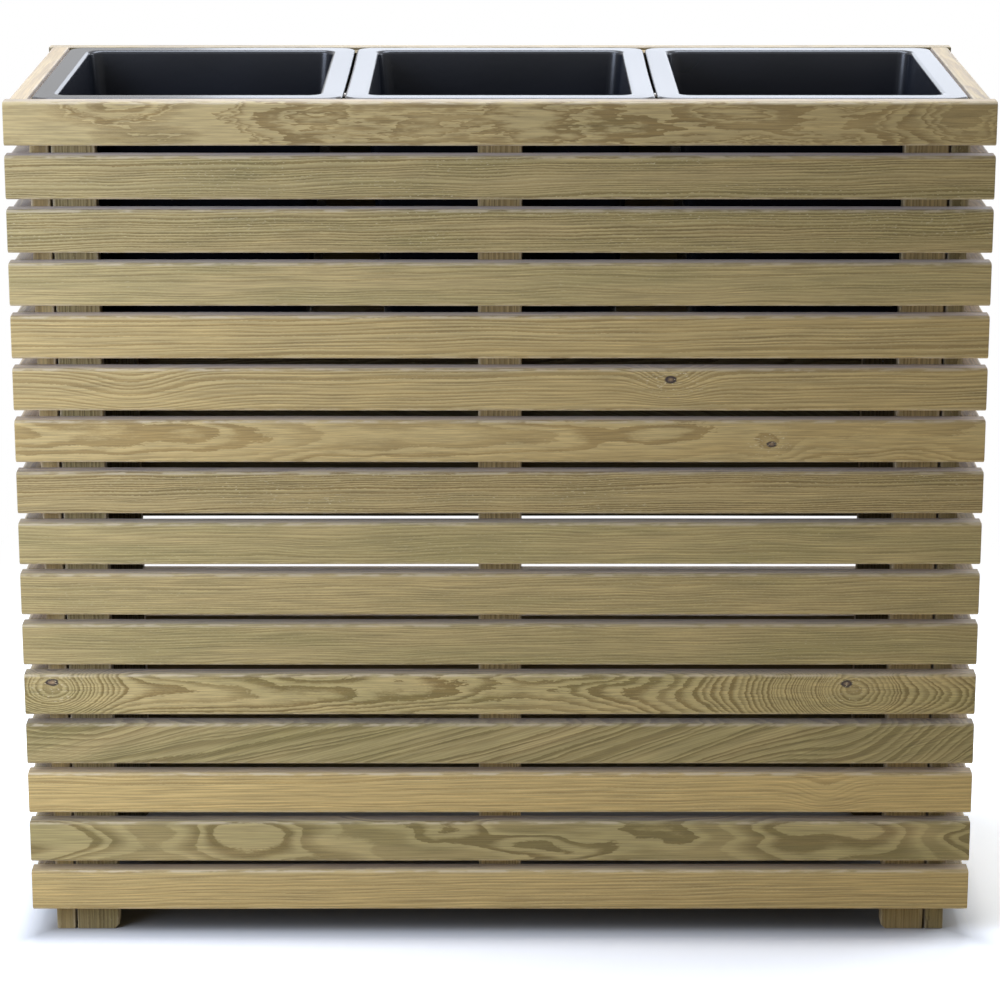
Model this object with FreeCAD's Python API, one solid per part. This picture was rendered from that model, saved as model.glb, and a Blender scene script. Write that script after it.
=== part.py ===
import FreeCAD
import Part
import math
import os

# Free-standing slatted softwood planter with three lift-out plastic liners.
#
# Four slatted panels make an open box. Each panel is a ladder of horizontal slats, pinned with brads to
# upright battens on its inner face. The corner battens run on below the slats and are the feet. Ledgers
# between the battens, behind the top slats, carry the flanges of the liners, which drop in from above.
#
# Millimetres. +Z is up, -Y is the front, and the origin is on the floor under the centre of the box.
# Pieces that repeat about the centre are made in the back right quarter, +X +Y, and mirrored from there.

# Panels
PLANTER_WIDTH = 1000.0  # length of a front or back slat
PLANTER_DEPTH = 400.0  # outer face of the front slats to outer face of the back slats
SLAT_ROWS = 16
SLAT_HEIGHT = 45.0
SLAT_THICKNESS = 20.0
SLAT_GAP = 10.0
SLAT_EDGE_RADIUS = 3.0  # the two outer long edges
SIDE_INSET = 3.0  # the side slats stand back this far from the ends of the front slats

# Battens and feet
BATTEN_WIDTH = 45.0
BATTEN_THICKNESS = 20.0
CORNER_JOINT_GAP = 2.0  # between the two battens of one corner
FOOT_HEIGHT = 30.0  # floor to the lowest slat
FOOT_CHAMFER = 5.0
CENTRE_BATTEN_RAISE = 5.0  # lower end of a centre batten above the lower edge of the lowest slat

# Ledgers
LEDGER_HEIGHT = 45.0

# Liners
LINER_NAMES = ("left", "middle", "right")  # the row of liners along X
LINER_HEIGHT = 250.0
LINER_WALL = 3.0
LINER_DRAFT_DEG = 4.0
LINER_CORNER_RADIUS = 12.0  # upright inner corners
LINER_BASE_CHAMFER = 5.0  # edges of the base, inside and out
LINER_RIM_CHAMFER = 1.5  # inner edge of the flange
FLANGE_CORNER_RADIUS = 10.0
FLANGE_CLEARANCE = 2.0  # flange to slats, and flange to the next flange
LINER_WALL_CLEARANCE = 3.0  # liner wall to battens and ledgers

# Brads that pin the slats to the battens and ledgers, driven flush from inside
BRAD_WIDTH = 1.6
BRAD_BITE = 15.0  # depth in the slat
LEDGER_BRAD_SHARES = (0.15, 0.85)  # along a ledger

# Countersunk screws that draw the two battens of a corner together
SCREW_DIAMETER = 5.0
SCREW_HEAD_DIAMETER = 9.5
SCREW_BITE = 13.0  # depth in the side batten
CORNER_SCREW_SHARES = (0.13, 0.87)  # down the rows of slats

# One overrun for every cut
CUT_OVERRUN = 1.0

OUT_DIR = "parts"

# Heights and planes that several pieces share
slat_pitch = SLAT_HEIGHT + SLAT_GAP
planter_height = FOOT_HEIGHT + SLAT_ROWS * slat_pitch - SLAT_GAP
seat_z = planter_height - LINER_WALL  # top of battens and ledgers, under the liner flanges
slat_back_y = PLANTER_DEPTH / 2 - SLAT_THICKNESS  # inner face of the front and back slats
batten_back_y = slat_back_y - BATTEN_THICKNESS
side_slat_back_x = PLANTER_WIDTH / 2 - SIDE_INSET - SLAT_THICKNESS  # inner face of the side slats
side_batten_back_x = side_slat_back_x - BATTEN_THICKNESS
side_batten_inner_y = slat_back_y - BATTEN_WIDTH
corner_batten_outer_x = side_batten_back_x - CORNER_JOINT_GAP
corner_batten_inner_x = corner_batten_outer_x - BATTEN_WIDTH

ORIGIN = FreeCAD.Vector(0, 0, 0)
X_AXIS = FreeCAD.Vector(1, 0, 0)
Y_AXIS = FreeCAD.Vector(0, 1, 0)
Z_AXIS = FreeCAD.Vector(0, 0, 1)


def row_bottom(row):
    """Lower edge of a row of slats, counted from 0 at the top."""
    return planter_height - SLAT_HEIGHT - row * slat_pitch


def row_middle(row):
    """Mid-height of a row of slats."""
    return row_bottom(row) + SLAT_HEIGHT / 2


def in_quarter(solid, side_x, side_y):
    """Solid made in the back right quarter, mirrored into the quarter that the two signs name."""
    if side_x < 0:
        solid = solid.mirror(ORIGIN, X_AXIS)
    if side_y < 0:
        solid = solid.mirror(ORIGIN, Y_AXIS)
    return solid


def box_between(low, high):
    """Box with these two opposite corners, each an (x, y, z)."""
    low = FreeCAD.Vector(*low)
    size = FreeCAD.Vector(*high) - low
    return Part.makeBox(size.x, size.y, size.z, low)


def prism(points, direction):
    """Solid swept from a closed polygon of points along a vector."""
    outline = Part.makePolygon([FreeCAD.Vector(*point) for point in points + points[:1]])
    return Part.Face(outline).extrude(direction)


# Slats

def slat(length):
    """Slat along X about the origin, its inner face on Y = 0 and the edges of its outer face rounded."""
    half_height = SLAT_HEIGHT / 2
    arc_y = SLAT_THICKNESS - SLAT_EDGE_RADIUS
    arc_z = half_height - SLAT_EDGE_RADIUS
    mid_arc = SLAT_EDGE_RADIUS * math.sin(math.pi / 4)

    def point(y, z):
        return FreeCAD.Vector(-length / 2, y, z)

    lower = Part.Arc(
        point(arc_y, -half_height), point(arc_y + mid_arc, -arc_z - mid_arc), point(SLAT_THICKNESS, -arc_z))
    upper = Part.Arc(
        point(SLAT_THICKNESS, arc_z), point(arc_y + mid_arc, arc_z + mid_arc), point(arc_y, half_height))
    flats = [
        Part.LineSegment(point(0, -half_height), point(arc_y, -half_height)),
        Part.LineSegment(point(SLAT_THICKNESS, -arc_z), point(SLAT_THICKNESS, arc_z)),
        Part.LineSegment(point(arc_y, half_height), point(0, half_height)),
        Part.LineSegment(point(0, half_height), point(0, -half_height)),
    ]
    outline = [flats[0], lower, flats[1], upper, flats[2], flats[3]]
    profile = Part.Wire([curve.toShape() for curve in outline])
    return Part.Face(profile).extrude(X_AXIS * length)


def long_slat(row, side_y):
    """Slat of the back panel (side 1) or the front panel (side -1)."""
    solid = slat(PLANTER_WIDTH)
    solid.translate(FreeCAD.Vector(0, slat_back_y, row_middle(row)))
    return in_quarter(solid, 1, side_y)


def side_slat(row, side_x):
    """Slat of the right (side 1) or left (side -1) panel, between the front and back slats."""
    solid = slat(2 * slat_back_y)
    solid.rotate(ORIGIN, Z_AXIS, -90)
    solid.translate(FreeCAD.Vector(side_slat_back_x, 0, row_middle(row)))
    return in_quarter(solid, side_x, 1)


# Battens and ledgers

def foot_outline(inner, outer):
    """Upright outline of a corner batten as (across, up), its inner lower corner cut off."""
    return [
        (inner + FOOT_CHAMFER, 0), (outer, 0), (outer, seat_z), (inner, seat_z), (inner, FOOT_CHAMFER),
    ]


def corner_batten(side_x, side_y):
    """Corner batten of the front or back panel."""
    outline = foot_outline(corner_batten_inner_x, corner_batten_outer_x)
    solid = prism([(x, batten_back_y, z) for x, z in outline], Y_AXIS * BATTEN_THICKNESS)
    return in_quarter(solid, side_x, side_y)


def side_batten(side_x, side_y):
    """Corner batten of a side panel, its edge against the front or back slats."""
    outline = foot_outline(side_batten_inner_y, slat_back_y)
    solid = prism([(side_batten_back_x, y, z) for y, z in outline], X_AXIS * BATTEN_THICKNESS)
    return in_quarter(solid, side_x, side_y)


def centre_batten(side_y):
    """Middle batten of the front or back panel, which stops short of the floor."""
    solid = box_between(
        (-BATTEN_WIDTH / 2, batten_back_y, FOOT_HEIGHT + CENTRE_BATTEN_RAISE),
        (BATTEN_WIDTH / 2, slat_back_y, seat_z),
    )
    return in_quarter(solid, 1, side_y)


def long_ledger(side_x, side_y):
    """Ledger behind the top slat, from a centre batten to a corner batten."""
    solid = box_between(
        (BATTEN_WIDTH / 2, batten_back_y, seat_z - LEDGER_HEIGHT),
        (corner_batten_inner_x, slat_back_y, seat_z),
    )
    return in_quarter(solid, side_x, side_y)


def side_ledger(side_x):
    """Ledger behind the top side slat, between the two side battens."""
    solid = box_between(
        (side_batten_back_x, -side_batten_inner_y, seat_z - LEDGER_HEIGHT),
        (side_slat_back_x, side_batten_inner_y, seat_z),
    )
    return in_quarter(solid, side_x, 1)


# Brads and screws

def brad():
    """Flat-sided brad along +Y, its head flush with the plane Y = 0."""
    half = BRAD_WIDTH / 2
    return box_between((-half, 0, -half), (half, BATTEN_THICKNESS + BRAD_BITE, half))


def long_brad(x, side_y, z):
    """Brad from the inner face of a batten or ledger into a front or back slat."""
    solid = brad()
    solid.translate(FreeCAD.Vector(x, batten_back_y, z))
    return in_quarter(solid, 1, side_y)


def side_brad(side_x, y, z):
    """Brad from the inner face of a batten or ledger into a side slat."""
    solid = brad()
    solid.rotate(ORIGIN, Z_AXIS, -90)
    solid.translate(FreeCAD.Vector(side_batten_back_x, y, z))
    return in_quarter(solid, side_x, 1)


def long_panel_brads(side_y):
    """Brads of the front or back panel, one where each slat crosses each batten."""
    corner_x = (corner_batten_inner_x + corner_batten_outer_x) / 2
    return [
        long_brad(x, side_y, row_middle(row))
        for row in range(SLAT_ROWS)
        for x in (-corner_x, 0, corner_x)
    ]


def side_panel_brads(side_x):
    """Brads of a side panel, in the strip of each batten that the corner batten leaves bare."""
    bare_y = (side_batten_inner_y + batten_back_y) / 2
    return [
        side_brad(side_x, y, row_middle(row))
        for row in range(SLAT_ROWS)
        for y in (-bare_y, bare_y)
    ]


def ledger_brads():
    """Brads that pin the ledgers to the top slats."""
    solids = []
    for share in LEDGER_BRAD_SHARES:
        x = BATTEN_WIDTH / 2 + share * (corner_batten_inner_x - BATTEN_WIDTH / 2)
        y = (2 * share - 1) * side_batten_inner_y
        solids += [long_brad(side_x * x, side_y, row_middle(0)) for side_x in (-1, 1) for side_y in (-1, 1)]
        solids += [side_brad(side_x, y, row_middle(0)) for side_x in (-1, 1)]
    return solids


def corner_screw(side_x, side_y, row):
    """Screw under a row of slats, through the corner batten into the side batten beside it."""
    shank = SCREW_DIAMETER / 2
    head = SCREW_HEAD_DIAMETER / 2
    tip_x = BATTEN_WIDTH + CORNER_JOINT_GAP + SCREW_BITE
    outline = [(0, 0, 0), (0, head, 0), (head - shank, shank, 0), (tip_x, shank, 0), (tip_x, 0, 0)]
    face = Part.Face(Part.makePolygon([FreeCAD.Vector(*point) for point in outline + outline[:1]]))
    solid = face.revolve(ORIGIN, X_AXIS, 360)
    middle_y = (batten_back_y + slat_back_y) / 2
    solid.translate(FreeCAD.Vector(corner_batten_inner_x, middle_y, row_bottom(row) - SLAT_GAP / 2))
    return in_quarter(solid, side_x, side_y)


def corner_screws():
    """Screws of all four corners, each in the gap between two rows of slats."""
    rows = [round(share * (SLAT_ROWS - 1)) for share in CORNER_SCREW_SHARES]
    return [corner_screw(side_x, side_y, row) for side_x in (-1, 1) for side_y in (-1, 1) for row in rows]


# Liners

def upright_edges(solid):
    """Edges of a solid that run more up than along."""
    return [edge for edge in solid.Edges if edge.BoundBox.ZLength > edge.Length / 2]


def drafted_block(width, depth, bottom_z, top_z, corner_radius):
    """Block of this width and depth at the seat, narrowing downwards, with a chamfered base."""
    slope = math.tan(math.radians(LINER_DRAFT_DEG))

    def half_sizes(z):
        drawn_in = (seat_z - z) * slope
        return width / 2 - drawn_in, depth / 2 - drawn_in

    bottom_x, bottom_y = half_sizes(bottom_z)
    top_x, top_y = half_sizes(top_z)
    block = Part.makeWedge(
        -bottom_x, 0, -bottom_y, -top_y, -top_x,
        bottom_x, top_z - bottom_z, bottom_y, top_y, top_x,
    )
    block.rotate(ORIGIN, X_AXIS, 90)
    block.translate(Z_AXIS * bottom_z)
    block = block.makeFillet(corner_radius, upright_edges(block))
    base = min(block.Faces, key=lambda face: face.CenterOfMass.z)
    return block.makeChamfer(LINER_BASE_CHAMFER, base.Edges)


def flange_plate(width, depth):
    """Flat flange of a liner, lying on the seat, with round corners."""
    plate = box_between((-width / 2, -depth / 2, seat_z), (width / 2, depth / 2, planter_height))
    return plate.makeFillet(FLANGE_CORNER_RADIUS, upright_edges(plate))


def liner(index):
    """Drafted plastic liner, its flange resting on the battens and ledgers."""
    count = len(LINER_NAMES)
    width = (2 * side_slat_back_x - (count + 1) * FLANGE_CLEARANCE) / count
    depth = 2 * slat_back_y - 2 * FLANGE_CLEARANCE
    overhang = BATTEN_THICKNESS - FLANGE_CLEARANCE + LINER_WALL_CLEARANCE
    wall_width = width - 2 * overhang
    wall_depth = depth - 2 * overhang
    base_z = planter_height - LINER_HEIGHT

    shell = drafted_block(wall_width, wall_depth, base_z, seat_z, LINER_CORNER_RADIUS + LINER_WALL)
    hollow = drafted_block(
        wall_width - 2 * LINER_WALL, wall_depth - 2 * LINER_WALL,
        base_z + LINER_WALL, planter_height + CUT_OVERRUN, LINER_CORNER_RADIUS,
    )
    solid = flange_plate(width, depth).fuse(shell).cut(hollow)
    flange_top = max(solid.Faces, key=lambda face: face.CenterOfMass.z)
    mouth = min(flange_top.Wires, key=lambda wire: wire.Length)
    solid = solid.makeChamfer(LINER_RIM_CHAMFER, mouth.Edges)

    from_middle = index - (count - 1) / 2
    solid.translate(X_AXIS * (from_middle * (width + FLANGE_CLEARANCE)))
    return solid


def build_nodes():
    """Every node of the planter by name, each one solid or a list of separate solids."""
    nodes = {}
    for name, side in (("front", -1), ("back", 1)):
        for row in range(SLAT_ROWS):
            nodes[f"{name}_slat_{row + 1:02d}"] = long_slat(row, side)
        nodes[f"{name}_centre_batten"] = centre_batten(side)
        nodes[f"{name}_brads"] = long_panel_brads(side)
    for name, side in (("left", -1), ("right", 1)):
        nodes[f"{name}_side_slats"] = [side_slat(row, side) for row in range(SLAT_ROWS)]
        nodes[f"{name}_side_ledger"] = side_ledger(side)
        nodes[f"{name}_side_brads"] = side_panel_brads(side)
    for end, side_y in (("front", -1), ("back", 1)):
        for hand, side_x in (("left", -1), ("right", 1)):
            nodes[f"{end}_{hand}_corner_batten"] = corner_batten(side_x, side_y)
            nodes[f"{end}_{hand}_side_batten"] = side_batten(side_x, side_y)
            nodes[f"{end}_{hand}_ledger"] = long_ledger(side_x, side_y)
    nodes["ledger_brads"] = ledger_brads()
    nodes["corner_screws"] = corner_screws()
    for index, name in enumerate(LINER_NAMES):
        nodes[f"{name}_liner"] = liner(index)
    return nodes


def main():
    """Build every node and write it to its own file."""
    os.makedirs(OUT_DIR, exist_ok=True)
    for name, shape in build_nodes().items():
        if isinstance(shape, list):
            shape = Part.makeCompound(shape)
        shape.exportStep(os.path.join(OUT_DIR, name + ".step"))


main()
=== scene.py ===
"""Looks of a slatted planter of treated pine with three black plastic liners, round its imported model."""

import logging
import math
import random
from dataclasses import dataclass
from enum import Enum
from functools import partial
from typing import Any, Callable, Iterator

import bmesh
import bpy
from mathutils import Euler, Matrix, Vector, noise


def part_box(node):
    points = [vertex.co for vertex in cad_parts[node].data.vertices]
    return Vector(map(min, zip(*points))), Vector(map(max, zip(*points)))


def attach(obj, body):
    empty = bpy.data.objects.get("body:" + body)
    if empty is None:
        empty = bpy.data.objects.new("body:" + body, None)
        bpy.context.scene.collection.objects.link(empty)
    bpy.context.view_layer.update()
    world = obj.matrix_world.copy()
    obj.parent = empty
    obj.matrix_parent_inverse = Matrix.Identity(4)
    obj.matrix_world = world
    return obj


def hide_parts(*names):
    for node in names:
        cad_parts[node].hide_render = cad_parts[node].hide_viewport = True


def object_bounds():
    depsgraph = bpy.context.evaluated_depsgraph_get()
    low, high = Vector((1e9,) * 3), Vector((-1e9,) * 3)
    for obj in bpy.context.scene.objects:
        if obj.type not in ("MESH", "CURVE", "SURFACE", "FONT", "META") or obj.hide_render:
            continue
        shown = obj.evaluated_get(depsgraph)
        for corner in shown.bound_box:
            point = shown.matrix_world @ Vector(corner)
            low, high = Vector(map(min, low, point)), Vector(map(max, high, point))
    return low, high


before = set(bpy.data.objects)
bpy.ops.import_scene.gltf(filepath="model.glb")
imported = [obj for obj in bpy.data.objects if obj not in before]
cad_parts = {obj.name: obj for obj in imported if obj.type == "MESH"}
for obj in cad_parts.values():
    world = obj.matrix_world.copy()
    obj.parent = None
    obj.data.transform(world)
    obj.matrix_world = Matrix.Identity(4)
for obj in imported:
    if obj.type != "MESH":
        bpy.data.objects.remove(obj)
CAD_LOW, CAD_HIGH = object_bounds()

MM = 0.001
FRAME_BODY = "frame"
KNOTS_PER_BOARD = 3
NOISE_SEED = 5
SLAT_SEED = 7
BATTEN_SEED = 23
BOARD_SEEDS = 10000
WELD = 0.01 * MM
# How straight along an axis an edge runs, how far to a side it lies, and from which angle on it is eased.
RUNS_ALONG = 0.99
AT_SIDE = 0.9
SHARP_ANGLE = math.radians(40)
Socket = bpy.types.NodeSocket
Adder = Callable[..., Any]
Shape = bmesh.types.BMesh
Material = bpy.types.Material
Piece = bpy.types.Object
Place = tuple[float, float, float]
# Settings of a colour mix, with the number of its colour output, and of a range with soft ends.
COLOUR_MIX = {"output": 2, "data_type": "RGBA"}
SMOOTH = {"interpolation_type": "SMOOTHSTEP"}
log = logging.getLogger("planter")


def linear(hex_colour: str) -> tuple[float, float, float, float]:
    """Turns an sRGB hex colour to linear light.

    Args:
        hex_colour: The colour as "#RRGGBB".

    Returns:
        Linear red, green, blue and an alpha of 1.
    """
    channels = [int(hex_colour[place:place + 2], 16) / 255 for place in (1, 3, 5)]
    light = [c / 12.92 if c <= 0.04045 else ((c + 0.055) / 1.055) ** 2.4 for c in channels]
    return (*light, 1.0)


def add_node(tree: bpy.types.NodeTree, kind: str, inputs: dict | tuple = (), operation: str = "",
             output: Any = 0, **settings: Any) -> Any:
    """Adds a shader node with its settings and links.

    Args:
        tree: The material's or world's node tree.
        kind: The node's type, without its ShaderNode prefix.
        inputs: Values, or the sockets that feed them, in the order of the node's inputs or by name or number.
        operation: What the node works out, where its type has a choice.
        output: Name or number of the output that is wanted.
        **settings: The node's other settings.

    Returns:
        The wanted output, or None where the node has none.
    """
    node = tree.nodes.new("ShaderNode" + kind)
    if operation:
        node.operation = operation
    for name, value in settings.items():
        setattr(node, name, value)
    for socket, value in inputs.items() if isinstance(inputs, dict) else enumerate(inputs):
        if isinstance(value, Socket):
            tree.links.new(value, node.inputs[socket])
        else:
            node.inputs[socket].default_value = value
    return node.outputs[output] if len(node.outputs) else None


def new_material(name: str) -> Material:
    """Makes a material with an empty node tree.

    Args:
        name: The finish's name.

    Returns:
        The material.
    """
    material = bpy.data.materials.new(name)
    material.use_nodes = True
    material.node_tree.nodes.clear()
    return material


def solid_boxes(node: str) -> list[tuple[Vector, Vector]]:
    """Finds the boxes of the separate solids in one CAD node.

    Args:
        node: The node's name.

    Returns:
        Lowest and highest corner of each solid, from the top down.
    """
    shape = bmesh.new()
    shape.from_mesh(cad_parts[node].data)
    bmesh.ops.remove_doubles(shape, verts=shape.verts, dist=WELD)
    left = set(shape.verts)
    boxes = []
    while left:
        wave = [left.pop()]
        corners = []
        while wave:
            vert = wave.pop()
            corners.append(vert.co.copy())
            near = {edge.other_vert(vert) for edge in vert.link_edges} & left
            left -= near
            wave.extend(near)
        low = Vector(map(min, zip(*corners)))
        high = Vector(map(max, zip(*corners)))
        boxes.append((low, high))
    shape.free()
    return sorted(boxes, key=lambda box: (-round(box[0].z, 4), round(box[0].x, 4), round(box[0].y, 4)))


def make_object(shape: Shape, name: str, material: Material) -> Piece:
    """Makes an object of a finished mesh, which is used up.

    Args:
        shape: The mesh, in place in the shared frame.
        name: The object's name.
        material: The object's finish.

    Returns:
        The object.
    """
    mesh = bpy.data.meshes.new(name)
    shape.to_mesh(mesh)
    shape.free()
    mesh.materials.append(material)
    made = bpy.data.objects.new(name, mesh)
    bpy.context.scene.collection.objects.link(made)
    return made


def finish_piece(shape: Shape, name: str, material: Material, body: str, slot: str,
                 nodes: tuple[str, ...]) -> Piece:
    """Makes a piece of a finished mesh and puts it on its body.

    Args:
        shape: The mesh, in place in the shared frame.
        name: The piece's name.
        material: The piece's finish.
        body: The CAD body it rides on.
        slot: The record's material slot; not used.
        nodes: The CAD nodes it stands for.

    Returns:
        The piece.
    """
    for face in shape.faces:
        face.smooth = True
    piece = make_object(shape, name, material)
    normals = piece.modifiers.new("flat_faces_stay_flat", "WEIGHTED_NORMAL")
    normals.keep_sharp = True
    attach(piece, body)
    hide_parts(*nodes)
    return piece


@dataclass(frozen=True)
class TreatedPine:
    """Planed pine, pressure-treated with a green-brown preservative.

    Planing leaves flat faces with a low sheen, a little fuzz where the grain rises, and rounded arrises. The
    eye sees growth rings: pale early wood that darkens slowly to a late wood line and stops there sharply.
    The rings are cylinders round the pith of the log, so one solid pattern gives the lines on the faces and
    the arcs on the ends.
    """

    name: str = "pressure_treated_pine"
    early_wood: str = "#B6A476"
    late_wood: str = "#6B562D"
    olive_patch: str = "#8C824F"
    warm_patch: str = "#BB9C62"
    fuzz_sheen: str = "#EEE2E2"
    knot_wood: str = "#2C1F1A"
    knot_heart: str = "#8A7358"
    torn_fibre: str = "#CFC2A2"
    worn_edge: str = "#C8B898"
    swell_length: float = 150.0
    swell_width: float = 44.0
    ripple_length: float = 26.0
    ripple_width: float = 5.0
    # Real fibres are a few hundredths of a millimetre wide. These are coarser, so that they show.
    fibre_length: float = 60.0
    fibre_width: float = 1.5
    fuzz_length: float = 3.6
    fuzz_width: float = 1.4
    patch_length: float = 190.0
    patch_width: float = 26.0
    ring_band: float = 14.0
    line_raggedness: float = 1.0
    season_drift: float = 2.2
    late_fullness: float = 1.4
    bow_length: float = 500.0
    knot_narrowing: float = 0.62
    bark_share: float = 1.35
    heart_fade: float = 0.5
    torn_share: float = 5.5
    torn_fade: float = 0.06
    fuzz_height: float = 0.6
    bump_depth: float = 0.5
    end_shade: float = 0.72
    # Painted shade at a post's foot: how far up it fades and how dark it gets.
    foot_shade_fade: float = 40.0
    painted_foot_shade: float = 0.6
    # Painted shade on each board's inner face: how far in from the face it reaches and how dark it gets.
    inner_shade_reach: float = 1.5
    painted_inner_shade: float = 0.42

    def material(self) -> Material:
        """Builds the finish. Its patterns read the board's own attributes, in millimetres.

        Returns:
            The material.
        """
        material = new_material(self.name)
        add = partial(add_node, material.node_tree)
        grain, board, half, seed, cut, cast, surface = [
            add("Attribute", output="Vector", attribute_name=name)
            for name in ("grain", "board", "half", "seed", "cut", "cast", "surface")
        ]
        swell, ripple, fibre, fuzz, patch = [
            add("TexNoise", {
                "Vector": add("VectorMath", (grain, (1 / long, 1 / wide, 1 / wide), seed), "MULTIPLY_ADD"),
                "Scale": 1.0, "Detail": detail, "Roughness": 0.55,
            })
            for long, wide, detail in (
                (self.swell_length, self.swell_width, 1.0),
                (self.ripple_length, self.ripple_width, 3.0),
                (self.fibre_length, self.fibre_width, 2.0),
                (self.fuzz_length, self.fuzz_width, 1.0),
                (self.patch_length, self.patch_width, 2.0),
            )
        ]
        radius, cores, hearts, torn_ring = self.ring_radius(add, grain, board, cut, surface, swell, ripple)
        late = self.late_wood_share(add, radius, seed, cut, cast, fuzz, patch)
        ends, wear = self.edge_masks(add, board, half, ripple)
        torn = self.torn_fibre_mask(add, fuzz, patch, surface, torn_ring)

        _, tone, shade = add("SeparateXYZ", (cast,)).node.outputs
        colour = add("Mix", {0: late, 6: linear(self.early_wood), 7: linear(self.late_wood)}, **COLOUR_MIX)
        for more, less, start, full, most, paint in (
            (patch, tone, 0.25, 0.85, 0.6, self.olive_patch),
            (tone, patch, -0.6, 0.3, 0.46, self.warm_patch),
        ):
            lean = add("Math", (more, less), "SUBTRACT")
            share = add("MapRange", {"Value": lean, "From Min": start, "From Max": full, "To Max": most})
            colour = add("Mix", {0: share, 6: colour, 7: linear(paint)}, **COLOUR_MIX)
        streak = add("MapRange", {"Value": fibre, "From Min": 0.25, "From Max": 0.75, "To Min": 0.7,
                                  "To Max": 1.24})
        colour = add("VectorMath", {0: colour, "Scale": streak}, "SCALE")
        heart = add("Mix", {0: hearts, 6: linear(self.knot_wood), 7: linear(self.knot_heart)}, **COLOUR_MIX)
        colour = add("Mix", {0: cores, 6: colour, 7: heart}, **COLOUR_MIX)
        for share, paint in ((torn, self.torn_fibre), (wear, self.worn_edge)):
            colour = add("Mix", {0: share, 6: colour, 7: linear(paint)}, **COLOUR_MIX)
        # Painted shade: a post darkens towards its foot by the floor, and each board's inner face darkens.
        foot_shade, inner_shade = self.painted_shade_masks(add, board, half, surface)
        for mask, darkest in ((ends, self.end_shade), (foot_shade, self.painted_foot_shade), (inner_shade, self.painted_inner_shade)):
            part = add("MapRange", {"Value": mask, "To Min": 1.0, "To Max": darkest})
            shade = add("Math", (shade, part), "MULTIPLY")
        colour = add("VectorMath", {0: colour, "Scale": shade}, "SCALE")

        roughness = add("MapRange", {"Value": late, "To Min": 0.66, "To Max": 0.5})
        height = add("Math", (fuzz, self.fuzz_height, fibre), "MULTIPLY_ADD")
        normal = add("Bump", {"Strength": 0.55, "Distance": self.bump_depth * MM, "Height": height})
        shader = add("BsdfPrincipled", {
            "Base Color": colour, "Roughness": roughness, "Specular IOR Level": 0.4, "Normal": normal,
            "Sheen Weight": 0.6, "Sheen Roughness": 0.45, "Sheen Tint": linear(self.fuzz_sheen),
        })
        add("OutputMaterial", {"Surface": shader})
        return material

    def ring_radius(self, add: Adder, grain: Socket, board: Socket, cut: Socket, surface: Socket,
                    swell: Socket, ripple: Socket) -> tuple[Socket, ...]:
        """Works out how far from the pith each point grew, with the grain wandering and rising round knots.

        Args:
            add: Adds a node to the material.
            grain: Place along the board and from the pith.
            board: Place from the board's centre.
            cut: Ring width, wildness and bow of the board.
            surface: Specks, raggedness and the height of the painted shade at the board's foot.
            swell: Long wander of the grain.
            ripple: Short wander of the grain.

        Returns:
            The radius, and the masks of the knots, of their pale hearts and of the torn grain round them.
        """
        _, wild, bow = add("SeparateXYZ", (cut,)).node.outputs
        ragged = add("SeparateXYZ", (surface,), output=1)
        across = add("VectorMath", (grain, (0.0, 1.0, 1.0)), "MULTIPLY")
        radius = add("VectorMath", (across,), "LENGTH", output="Value")
        for wander, reach in ((swell, wild), (ripple, ragged)):
            radius = add("Math", (wander, reach, radius), "MULTIPLY_ADD")
        along = add("SeparateXYZ", (grain,))
        share = add("Math", (along, 1 / self.bow_length), "MULTIPLY")
        share = add("Math", (share, 2.0), "POWER")
        radius = add("Math", (share, bow, radius), "MULTIPLY_ADD")

        zones = ((self.bark_share, 1.0), (1.0, self.heart_fade), (self.torn_share, self.torn_fade))
        masks: list[Any] = [0.0 for _ in zones]
        narrowed = (self.knot_narrowing, 1.0, 0.0)
        for index in range(KNOTS_PER_BOARD):
            knot, swirl = [add("Attribute", output="Vector", attribute_name=f"{name}_{index}")
                           for name in ("knot", "swirl")]
            size = add("SeparateXYZ", (knot,), output=2)
            lift = add("SeparateXYZ", (swirl,), output=2)
            offset = add("VectorMath", (board, knot), "SUBTRACT")
            offset = add("VectorMath", (offset, (1.0, 1.0, 0.0)), "MULTIPLY")
            spread = add("VectorMath", (offset, swirl), "MULTIPLY")
            fall = add("VectorMath", (spread, spread), "DOT_PRODUCT", output="Value")
            fall = add("Math", (fall, -1.0), "MULTIPLY")
            fall = add("Math", (fall,), "EXPONENT")
            radius = add("Math", (fall, lift, radius), "MULTIPLY_ADD")
            eye = add("VectorMath", (offset, narrowed), "MULTIPLY")
            distance = add("VectorMath", (eye,), "LENGTH", output="Value")
            distance = add("Math", (ripple, size, distance), "MULTIPLY_ADD")
            for zone, (extent, fade) in enumerate(zones):
                inside = add("Math", (size, extent), "MULTIPLY")
                inside = add("Math", (inside, distance), "SUBTRACT")
                inside = add("Math", (inside, fade), "MULTIPLY")
                masks[zone] = add("Math", (masks[zone], inside), "MAXIMUM", use_clamp=True)
        return radius, *masks

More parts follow.
